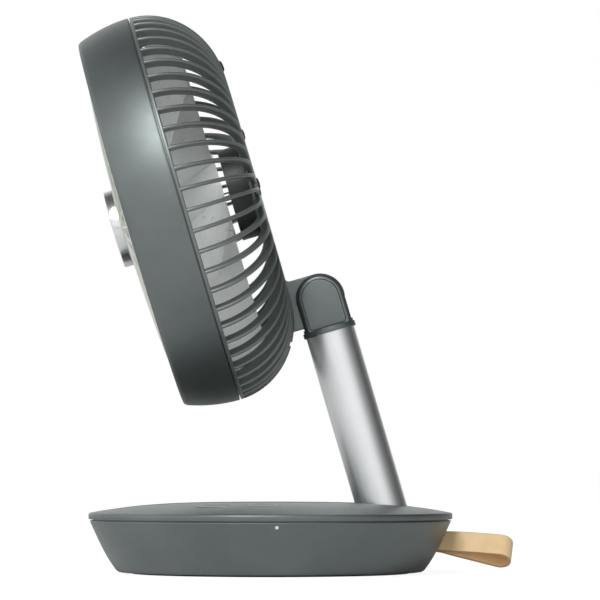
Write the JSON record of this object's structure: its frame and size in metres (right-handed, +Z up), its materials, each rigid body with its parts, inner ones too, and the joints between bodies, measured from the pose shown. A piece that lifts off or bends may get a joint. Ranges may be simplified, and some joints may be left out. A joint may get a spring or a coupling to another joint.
{
  "type": "desk fan",
  "caption": "Folding desk fan: round base, leaning column that folds flat into the base, and a caged axial fan head on a friction hinge.",
  "frame": {"origin": "centre of the underside of the round base, on the surface the fan stands on", "axes": "+Z up; the air leaves towards -X; the hinges' axes run along Y"},
  "size_m": [0.2514, 0.2302, 0.3223],
  "materials": {
    "shell_plastic": "fine matt texture, dark grey with a slight green cast",
    "dark_plastic": "matt, darker grey",
    "button_plastic": "satin",
    "pale_plastic": "satin, off-white",
    "blade_plastic": "satin, milky and slightly translucent",
    "brushed_aluminium": "satin anodised",
    "plated_steel": "zinc plated",
    "painted_steel": "black coated",
    "bronze_washer": "plain",
    "copper_winding": "enamelled",
    "cell_wrap": "shrink wrap",
    "circuit_board": "solder mask",
    "switch_plastic": "moulded",
    "light_pipe": "clear",
    "tan_leather": "vegetable tanned, smooth face",
    "rubber": "matt",
    "cable_jacket": "matt"
  },
  "bodies": {
    "base": {"base_bowl": "shell_plastic", "base_top_plate": "shell_plastic", "column_trough": "dark_plastic", "bottom_cover": "dark_plastic", "foot_pad": "rubber", "cover_screws": "plated_steel", "hinge_bracket": "plated_steel", "bracket_screws": "plated_steel", "lower_hinge_pin": "plated_steel", "lower_pin_clips": "plated_steel", "lower_friction_washers": "bronze_washer", "battery_cells": "cell_wrap", "battery_trays": "dark_plastic", "control_board": "circuit_board", "board_screws": "plated_steel", "tact_switches": "switch_plastic", "indicator_light_pipe": "light_pipe", "charge_socket": "plated_steel", "pull_loop": "tan_leather", "strap_clamp": "dark_plastic", "strap_screws": "plated_steel"},
    "power_button": {"power_button": "button_plastic"},
    "speed_button": {"speed_button": "button_plastic"},
    "column": {"column_tube": "brushed_aluminium", "column_foot": "dark_plastic", "knuckle_fork": "shell_plastic", "knuckle_cover_left": "shell_plastic", "knuckle_cover_right": "shell_plastic", "motor_lead": "cable_jacket"},
    "upper_hinge": {"upper_hinge_pin": "plated_steel", "upper_friction_washers": "bronze_washer"},
    "head": {"head_arm": "shell_plastic", "arm_screws": "plated_steel", "rear_grille": "dark_plastic", "front_housing": "shell_plastic", "front_grille": "pale_plastic", "hub_cap": "brushed_aluminium", "hub_disc": "dark_plastic", "motor_can": "painted_steel", "motor_end_plate": "painted_steel", "stator": "painted_steel", "stator_coils": "copper_winding", "motor_bearings": "plated_steel", "motor_screws": "plated_steel", "back_bumpers": "rubber"},
    "rotor": {"motor_shaft": "plated_steel", "rotor_magnet": "painted_steel", "impeller": "blade_plastic", "impeller_nut": "plated_steel"}
  },
  "joints": [
    {"name": "column_fold", "type": "hinge", "parent": "base", "child": "column", "pos_m": [0.0677, 0, 0.0265], "axis": [0, -1, 0], "range_deg": [0, 73.6]},
    {"name": "head_fold", "type": "hinge", "parent": "column", "child": "upper_hinge", "pos_m": [0.02879, 0, 0.15869], "axis": [0, 1, 0], "range_deg": [0, 155]},
    {"name": "head_tilt", "type": "hinge", "parent": "upper_hinge", "child": "head", "pos_m": [0.02879, 0, 0.15869], "axis": [0, 1, 0], "range_deg": [0, 25]},
    {"name": "fan_spin", "type": "hinge", "parent": "head", "child": "rotor", "pos_m": [-0.04945, 0, 0.21061], "axis": [-0.9593, 0, -0.2823], "continuous": true},
    {"name": "power_press", "type": "slide", "parent": "base", "child": "power_button", "axis": [0, 0.068, -0.9977], "range_m": [0, 0.0008], "stiffness_N_per_m": 900, "springref_m": -0.0012},
    {"name": "speed_press", "type": "slide", "parent": "base", "child": "speed_button", "axis": [0, 0.068, -0.9977], "range_m": [0, 0.0008], "stiffness_N_per_m": 900, "springref_m": -0.0012}
  ],
  "couplings": [
    {"joint": "head_fold", "follows": "column_fold", "ratio": 2.106}
  ]
}
